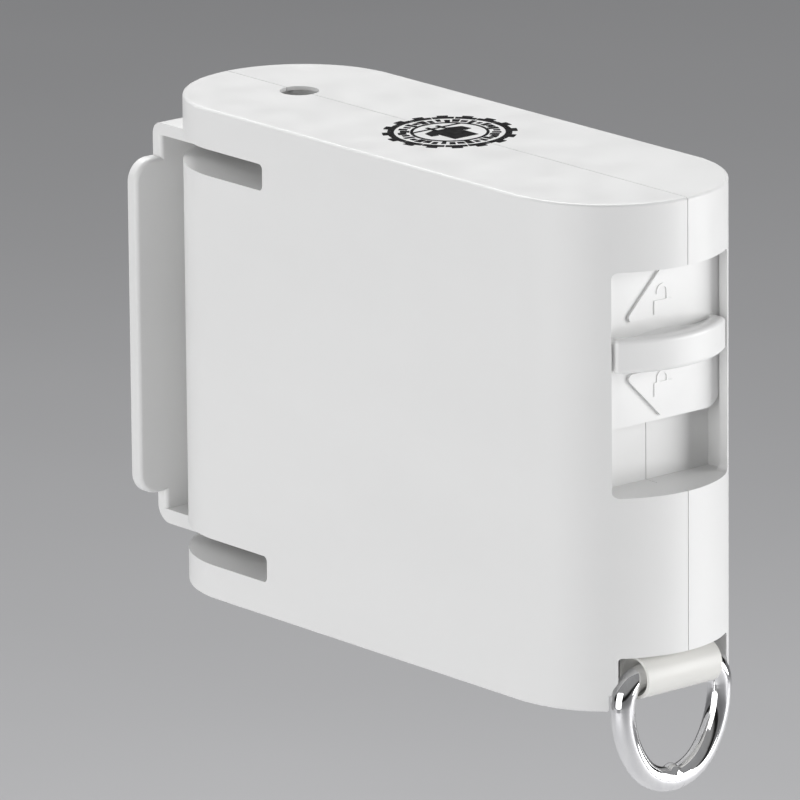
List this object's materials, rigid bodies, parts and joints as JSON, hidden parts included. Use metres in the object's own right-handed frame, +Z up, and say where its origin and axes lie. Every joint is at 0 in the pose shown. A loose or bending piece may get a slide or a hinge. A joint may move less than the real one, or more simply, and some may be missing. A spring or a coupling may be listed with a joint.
{
  "type": "retractable clothesline",
  "caption": "Wall-mounted retractable clothesline: slim round-ended reel housing on a swivelling bracket, lock slider in a front window, D-ring on the line's end.",
  "frame": {"origin": "centre of the wall bracket's wall face", "axes": "+Y into the wall, so the housing stands out along -Y; +Z up; +X to the right when facing the wall"},
  "size_m": [0.0356, 0.11, 0.0914],
  "materials": {
    "shell": "white ABS, fine satin",
    "bracket": "white nylon, satin",
    "slider": "white ABS, satin",
    "terminal": "off-white, satin",
    "ring": "bright chrome plate",
    "badge": "white label with black print",
    "steel": "zinc-plated steel",
    "spring": "blued spring steel",
    "reel": "natural acetal",
    "pawl": "grey acetal",
    "line": "PVC-coated cord"
  },
  "bodies": {
    "bracket": {"wall_bracket": "bracket"},
    "housing": {"housing_left": "shell", "housing_right": "shell", "housing_screws": "steel", "pivot_pin_upper": "steel", "pivot_pin_lower": "steel", "arbor": "steel", "line_guide": "steel", "detent_spring": "spring", "pawl_pin": "steel", "top_badge": "badge", "line_run": "line"},
    "reel": {"drum": "reel", "ratchet_flange": "reel", "drum_cover": "reel", "mainspring": "spring", "line_winding": "line"},
    "slider": {"lock_slider": "slider"},
    "pawl": {"lock_pawl": "pawl"},
    "terminal": {"line_terminal": "terminal", "crimp_sleeve": "steel"},
    "ring": {"d_ring": "ring"}
  },
  "joints": [
    {"name": "body_swivel", "type": "hinge", "parent": "bracket", "child": "housing", "pos_m": [0, -0.02125, 0], "axis": [0, 0, 1], "range_deg": [-90, 90]},
    {"name": "lock_slide", "type": "slide", "parent": "housing", "child": "slider", "axis": [0, 0, -1], "range_m": [0, 0.008]},
    {"name": "pawl_turn", "type": "hinge", "parent": "housing", "child": "pawl", "pos_m": [0, -0.086, 0.016], "axis": [1, 0, 0], "range_deg": [0, 43.62]},
    {"name": "line_pull", "type": "slide", "parent": "housing", "child": "terminal", "axis": [0, -1, 0], "range_m": [0, 3.9992], "stiffness_N_per_m": 0.8, "springref_m": -3, "deforming": ["line_run"]},
    {"name": "drum_spin", "type": "hinge", "parent": "housing", "child": "reel", "pos_m": [0, -0.06, 0], "axis": [-1, 0, 0], "range_deg": [0, 13680], "deforming": ["mainspring"]},
    {"name": "ring_swing", "type": "hinge", "parent": "terminal", "child": "ring", "pos_m": [0, -0.10615, -0.0339], "axis": [-1, 0, 0], "range_deg": [-25, 110]}
  ],
  "couplings": [
    {"joint": "pawl_turn", "follows": "lock_slide", "rad_per_m": 95.127},
    {"joint": "drum_spin", "follows": "line_pull", "rad_per_m": 59.702}
  ]
}
